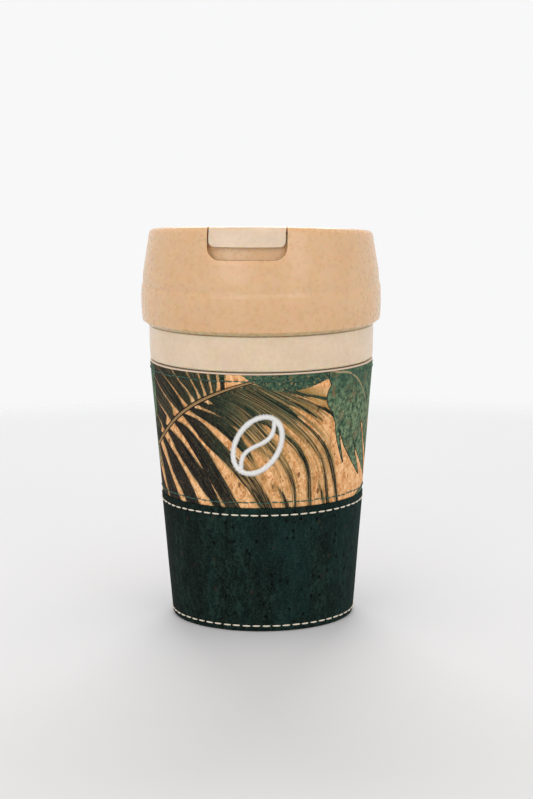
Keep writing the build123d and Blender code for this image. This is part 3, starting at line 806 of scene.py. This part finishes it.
def print_fields(degrees, height):
    """All the fields that the printed cork's material reads, on the sheet's grid."""
    z = height / MM
    a = (degrees - REPEAT_START) % REPEAT + REPEAT_START
    turn = np.floor((degrees - REPEAT_START) / REPEAT)
    ink, flow, along = bundle(LEAFLETS, a, z, False)
    blades, _, _ = bundle(BLADES, a, z, False)
    ink = np.maximum(ink, blades)
    right = soft_step(a, -16, 2)
    hatch = right * (1 - 0.55 * soft_step(along, 0.45, 0.95)) * (1 - soft_step(a, 44, 54))
    bleed = 1.0 + 2.2 * hatch
    green = soft_step(a, -36, 2) * (1 - 0.8 * soft_step(along, 0.25, 0.80))

    gaps, crown_flow, crown_along = bundle(CROWN_GAPS, a, z, True)
    crown = np.minimum(-gaps, 4)
    crown = np.where(a > CROWN_END, (CROWN_END - a) * MM_PER_DEGREE, crown)
    above = z > frond_z(a)
    finer, offset = CROWN_FLOW
    flow = np.where(above, crown_flow * finer + offset, flow)
    along = np.where(above, 0.55 + 0.4 * crown_along, along)
    ink = np.where(above, crown, ink)
    bleed = np.where(above, 0.6, bleed)
    hatch = np.where(above, 0.08, hatch)
    green = np.where(above, 0.25 + 0.40 * soft_step(a, -52, -24), green)

    steep = (frond_z(a + 0.5) - frond_z(a - 0.5)) / MM_PER_DEGREE
    rib = (z - frond_z(a)) / np.hypot(1, steep)
    rib = rib * (1 + 0.5 * soft_step(a, -30, 3))
    rib = np.where(a > 3.5, -NOWHERE, rib)

    start, end = TOP_LEAF_ENDS
    low_a, low_z = TOP_LEAF_LOW
    hollow = np.where(a < low_a, *TOP_LEAF_CURL) * (a - low_a) ** 2
    top_leaf = np.where((a < start) | (a > end), NOWHERE, z - low_z - hollow)
    broad = np.maximum(lobe_field(a, z), lobe_field(a + REPEAT, z))
    vein_a, vein_z = VEIN_START
    past = np.where(a < -40, a + REPEAT, a) - vein_a
    vein = (z - vein_z + 0.028 * np.abs(past) ** 1.9 * np.sign(past)) * 0.8
    return {
        "flow": flow + REPEAT_FLOW * turn,
        "along": along,
        "ink": ink,
        "bleed": bleed,
        "hatch": hatch,
        "green": green,
        "rib": rib,
        "top_leaf": top_leaf,
        "broad": broad,
        "vein": vein,
    }


def make_panel():
    rows = [row_z("panel_hem_stitching"), row_z("panel_top_stitching")]
    points, faces, degrees, z = wrapped_sheet(
        panel_low.z, panel_high.z, 0.0, PANEL_THICKNESS, cell=0.45 * MM, rows_at=rows, seed=1.3
    )
    panel = make_object(
        "cork_panel", points, faces, palm_cork, "sleeve", ["printed_panel"]
    )
    inside = np.full(len(points) - z.size, NOWHERE)
    for name, values in print_fields(degrees, z).items():
        store(panel, name, np.concatenate([values.ravel(), inside]))


def make_band():
    rows = [row_z("band_bottom_stitching"), row_z("band_top_stitching")]
    points, faces, _, _ = wrapped_sheet(
        band_low.z, band_high.z, BAND_PROUD, BAND_THICKNESS, cell=0.8 * MM, rows_at=rows, seed=4.1
    )
    band = make_object(
        "cork_band", points, faces, dark_cork, "sleeve", ["green_band"]
    )


make_panel()
make_band()


LINING_STEPS = 240             # points round the lining
LINING_ROWS = 24               # and up each of its faces
LINING_GAP = 0.02 * MM         # between the lining and the cork


def make_lining():
    """The cloth lining: a thick tube with a rolled top edge that caps the printed sheet."""
    steps = LINING_STEPS
    low = lining_low.z
    top = lining_high.z
    skin = PANEL_THICKNESS + LINING_GAP
    section = [
        (sleeve_r(low) - skin - LINING_THICKNESS + 0.2 * MM, low),
        (sleeve_r(low) - skin - 0.3 * MM, low),
        (sleeve_r(low) - skin, low + 0.3 * MM),
    ]
    for i in range(1, LINING_ROWS):
        z = low + (top - 1.2 * MM - low) * i / LINING_ROWS
        section.append((sleeve_r(z) - skin, z))
    lip = sleeve_r(top) - 0.15 * MM
    section += [
        (sleeve_r(top - 0.8 * MM) - skin, top - 0.66 * MM),
        (lip - 0.25 * MM, top - 0.60 * MM),
        (lip, top - 0.42 * MM),
        (lip, top - 0.20 * MM),
        (lip - 0.25 * MM, top - 0.02 * MM),
        (lip - 1.2 * MM, top),
        (lip - 1.85 * MM, top - 0.25 * MM),
    ]
    for i in reversed(range(LINING_ROWS)):
        z = low + 0.3 * MM + (top - 1.0 * MM - low) * i / LINING_ROWS
        section.append((sleeve_r(z) - skin - LINING_THICKNESS, z))
    section = np.array(section)
    count = len(section)
    degrees, index = np.meshgrid(np.arange(steps) * 360 / steps, np.arange(count))
    r = section[index, 0] + LINING_RIPPLE * ripple(degrees, section[index, 1], 2.2)
    points = on_cup(degrees, section[index, 1], r).reshape(-1, 3)
    faces = []
    for j in range(count):
        for i in range(steps):
            after = (i + 1) % steps
            here = j * steps
            above = (j + 1) % count * steps
            faces.append((here + i, here + after, above + after, above + i))
    lining = make_object(
        "sewn_lining", points, faces, lining_cloth, "sleeve", ["sleeve_lining"]
    )


make_lining()


# ---------------------------------------------------------------- sewing
class Threads:
    """Many short lengths of thread gathered into one mesh."""

    BLUNTNESS = 0.35           # of a thread's ends: 0 is square, 1 is pointed
    PLY_SWELL = 0.10           # how far the plies stand out, over the thread's radius

    def __init__(self):
        self.points = []
        self.faces = []
        self.along = []
        self.across = []

    def lay(self, path, normals, half_width, half_height, sides=8, plies=2, twist=2.5):
        """A thread along a path, flattened on its normals, with rounded, sunken ends."""
        path = np.asarray(path)
        normals = np.asarray(normals)
        count = len(path)
        first = len(self.points)
        tangent = np.gradient(path, axis=0)
        tangent /= np.linalg.norm(tangent, axis=1)[:, None]
        side = np.cross(tangent, normals)
        side /= np.linalg.norm(side, axis=1)[:, None]
        length = np.linalg.norm(np.diff(path, axis=0), axis=1).sum()
        for i in range(count):
            share = i / (count - 1)
            full = math.sin(math.pi * min(max(share, 0.03), 0.97)) ** self.BLUNTNESS
            for k in range(sides):
                turn = 2 * math.pi * k / sides
                spin = plies * (turn - twist * 2 * math.pi * share)
                swell = full * (1 + self.PLY_SWELL * math.cos(spin))
                offset = side[i] * math.cos(turn) * half_width * swell
                offset = offset + normals[i] * math.sin(turn) * half_height * swell
                self.points.append(path[i] + offset)
                self.along.append(share * length / MM)
                self.across.append(k / sides)
        for i in range(count - 1):
            for k in range(sides):
                after = (k + 1) % sides
                at = first + i * sides
                self.faces.append((at + k, at + after, at + sides + after, at + sides + k))
        self.faces.append([first + k for k in range(sides)][::-1])
        self.faces.append([first + (count - 1) * sides + k for k in range(sides)])

    def piece(self, name, material, node):
        made = make_object(name, self.points, self.faces, material, "sleeve", [node])
        store(made, "thread_u", self.along)
        store(made, "thread_v", self.across)
        return made


def out_of_cone(degrees):
    """The sleeve's outward normal at angles round it."""
    turn = np.radians(degrees)
    normal = np.stack([np.sin(turn), -np.cos(turn), -SLEEVE_SLOPE + 0 * turn], -1)
    return normal / np.linalg.norm(normal, axis=-1)[..., None]


# Running stitches: pitch, length, half width, and how far they wander from their row.
SADDLE_STITCH = (4.0 * MM, 3.35 * MM, 0.33 * MM, 0.05 * MM)
FINE_STITCH = (2.9 * MM, 2.85 * MM, 0.25 * MM, 0.26 * MM)
FLATNESS = 0.62                # a stitch's height over its width
STITCH_RISE = 0.42             # its middle stands up by this, over its half width
STITCH_SINK = 1.3              # and its ends sink by this below the middle


def sew_row(name, node, material, proud, stitch, seed):
    """A row of running stitches round the sleeve: each dips into its holes at both ends."""
    pitch, length, half, wander = stitch
    chance = random.Random(seed)
    z = row_z(node)
    r = sleeve_r(z) + proud
    count = round(2 * math.pi * r / pitch)
    threads = Threads()
    steps = np.linspace(-0.5, 0.5, 13)
    for i in range(count):
        middle = 360 * (i + 0.5) / count + chance.uniform(-0.15, 0.15)
        reach = math.degrees(length * chance.uniform(0.94, 1.04) / r)
        degrees = middle + steps * reach
        lean = chance.uniform(-1, 1) * wander
        lift = z + lean * (0.6 + steps) + chance.uniform(-1, 1) * wander * 0.5
        crown = half * STITCH_RISE - half * STITCH_SINK * np.abs(2 * steps) ** 6
        path = on_cup(degrees, lift, r + crown)
        threads.lay(path, out_of_cone(degrees), half, half * FLATNESS)
    threads.piece(name, material, node)


for name, node, seed in (
    ("cream_stitches_low", "band_bottom_stitching", 11),
    ("cream_stitches_high", "band_top_stitching", 12),
):
    sew_row(name, node, cream_thread, BAND_PROUD, SADDLE_STITCH, seed)
for name, node, seed in (
    ("green_stitches_hem", "panel_hem_stitching", 13),
    ("green_stitches_top", "panel_top_stitching", 14),
):
    sew_row(name, node, green_thread, 0.0, FINE_STITCH, seed)


ZIGZAG_STEP = 2.4 * MM         # height of one leg of the back seam's zigzag
ZIGZAG_PROUD = 0.22 * MM
ZIGZAG_SINK = 0.4 * MM         # how far its ends sink into their holes
ZIGZAG_HALF = (0.27 * MM, 0.18 * MM)     # half the thread's width and height


def sew_back_seam():
    """A zigzag over the butt joint at the back."""
    threads = Threads()
    half_span = (seam_high.x - seam_low.x) / 2 - 0.2 * MM
    count = int((seam_high.z - seam_low.z) / ZIGZAG_STEP)
    steps = np.linspace(0, 1, 9)
    for i in range(count):
        way = 1 if i % 2 else -1
        z = seam_low.z + ZIGZAG_STEP * (i + steps)
        x = way * half_span * (1 - 2 * steps)
        r = sleeve_r(z) + ZIGZAG_PROUD - ZIGZAG_SINK * np.abs(2 * steps - 1) ** 6
        degrees = 180 - np.degrees(x / r)
        path = on_cup(degrees, z, r)
        threads.lay(path, out_of_cone(degrees), *ZIGZAG_HALF)
    threads.piece("back_seam_zigzag", green_thread, "back_seam_stitching")


sew_back_seam()


# ---------------------------------------------------------------- the embroidered mark
BEAN_LENGTH = 27.0 * MM
BEAN_WIDTH = 19.0 * MM
BEAN_TILT = -32.0
SATIN_WIDTH = 2.3 * MM
SATIN_PITCH = 0.50 * MM
SATIN_CROWN = 0.42 * MM
SATIN_SAMPLES = 400            # points that measure a line's length
CREASE_BEND = 0.30             # how far the crease swings, over the bean's half width


def embroider_bean():
    """A plain coffee bean in satin stitch: threads laid across its outline and crease."""
    threads = Threads()
    chance = random.Random(5)
    centre_z = (emblem_low.z + emblem_high.z) / 2
    centre_a = math.degrees(math.asin((emblem_low.x + emblem_high.x) / 2 / sleeve_r(centre_z)))
    tilt = math.radians(90 + BEAN_TILT)
    cos_t, sin_t = math.cos(tilt), math.sin(tilt)
    long_r = (BEAN_LENGTH - SATIN_WIDTH) / 2
    wide_r = (BEAN_WIDTH - SATIN_WIDTH) / 2

    def outline(t):
        return np.array([long_r * math.cos(t), wide_r * math.sin(t)])

    def crease(t):
        x = -long_r + SATIN_WIDTH * 0.35 + t * (2 * long_r - SATIN_WIDTH * 0.7)
        return np.array([x, CREASE_BEND * wide_r * math.sin(math.pi * (x + long_r) / long_r)])

    def cross(middle, normal, half):
        """One thread across the line at a point, bowed up in the middle."""
        steps = np.linspace(-1, 1, 7)
        flat = middle + np.outer(steps * half, normal)
        x = flat[:, 0] * cos_t - flat[:, 1] * sin_t
        z = centre_z + flat[:, 0] * sin_t + flat[:, 1] * cos_t
        crown = SATIN_CROWN * np.sqrt(np.maximum(1 - steps**2, 0)) - 0.05 * MM
        r = sleeve_r(z) + crown
        degrees = centre_a + np.degrees(x / sleeve_r(z))
        path = on_cup(degrees, z, r)
        size = (SATIN_PITCH * 0.56, SATIN_PITCH * 0.5)
        threads.lay(path, out_of_cone(degrees), *size, sides=6, plies=1, twist=0.5)

    def run(line, low, high, half, slant):
        """Threads side by side all along a line."""
        shares = np.linspace(low, high, SATIN_SAMPLES + 1)
        samples = np.array([line(share) for share in shares])
        steps = np.linalg.norm(np.diff(samples, axis=0), axis=1)
        gone = np.concatenate([[0], np.cumsum(steps)])
        count = int(gone[-1] / SATIN_PITCH)
        for i in range(count):
            t = np.interp((i + 0.5) / count * gone[-1], gone, shares)
            middle = line(t)
            tangent = line(t + 1e-3) - line(t - 1e-3)
            tangent /= np.linalg.norm(tangent)
            normal = np.array([-tangent[1], tangent[0]]) + slant * tangent
            normal /= np.linalg.norm(normal)
            cross(middle, normal, half * chance.uniform(0.88, 1.10))

    run(crease, 0.0, 1.0, SATIN_WIDTH * 0.42, 0.18)
    run(outline, 0.0, 2 * math.pi, SATIN_WIDTH / 2, 0.12)
    threads.piece("bean_embroidery", white_thread, "emblem_embroidery")


embroider_bean()


# ---------------------------------------------------------------- stage and light
FLOOR_R = 0.555
FLOOR_FADE = 0.10
CUP_HEART = (0, 0, 0.12)       # where the front lamps point


def make_floor():
    """A pale round table top whose edge fades into the white behind. Its colour carries painted light
    and shade, darker towards the front.
    """
    bpy.ops.mesh.primitive_circle_add(vertices=96, radius=FLOOR_R, fill_type="NGON")
    floor = bpy.context.object
    floor.name = "floor"
    g = Graph("floor_paper")
    x, y, _ = g.split(g.place())
    far = g.math("SQRT", g.add(g.mul(x, x), g.mul(y, y)))
    cloud = g.noise(g.place(), 9, 3)
    g.bump(g.noise(g.place(), 900, 3), 0.0001, 0.15)
    # Painted light and shade: the colour is a little lighter from the back to the middle and darker
    # towards the front, where the cup's soft shadow and the light's falloff lie.
    colour = g.mix(g.step(y, 0.45, 0.05), rgb(208, 208, 208), rgb(211, 210, 210))
    colour = g.mix(g.step(y, 0.0, -0.22), colour, rgb(202, 201, 200))
    g.set(
        color=g.mix(g.mul(cloud, 0.10), colour, rgb(213, 213, 213)),
        roughness=0.7,
        specular_ior_level=0.2,
        alpha=g.step(far, FLOOR_R, FLOOR_R - FLOOR_FADE),
    )
    floor.data.materials.append(g.material)


def soft_box(name, place, aim, size, power):
    """A white lamp with a soft rectangular face: where it is, and where it points."""
    data = bpy.data.lights.new(name, "AREA")
    data.shape = "RECTANGLE"
    data.size, data.size_y = size
    data.energy = power
    lamp = bpy.data.objects.new(name, data)
    bpy.context.scene.collection.objects.link(lamp)
    lamp.location = place
    lamp.rotation_euler = (Vector(aim) - Vector(place)).to_track_quat("-Z", "Y").to_euler()


def make_light():
    world = bpy.data.worlds.new("white_room")
    bpy.context.scene.world = world
    world.use_nodes = True
    back = world.node_tree.nodes["Background"]
    back.inputs["Color"].default_value = rgb(248, 248, 249)
    back.inputs["Strength"].default_value = 1.0
    soft_box("front", (0.08, -0.95, 0.72), CUP_HEART, (1.5, 0.12), 2.0)
    soft_box("left_window", (-0.41, -1.02, 0.36), CUP_HEART, (0.55, 0.3), 1.1)
    soft_box("right_window", (0.78, -0.78, 0.45), CUP_HEART, (0.3, 0.4), 0.8)
    soft_box("behind", (-0.56, 4.46, 3.2), (0, 0, 0), (3.2, 1.8), 130)


make_floor()
make_light()
bpy.context.scene.view_settings.view_transform = "Standard"
bpy.context.scene.view_settings.look = "None"
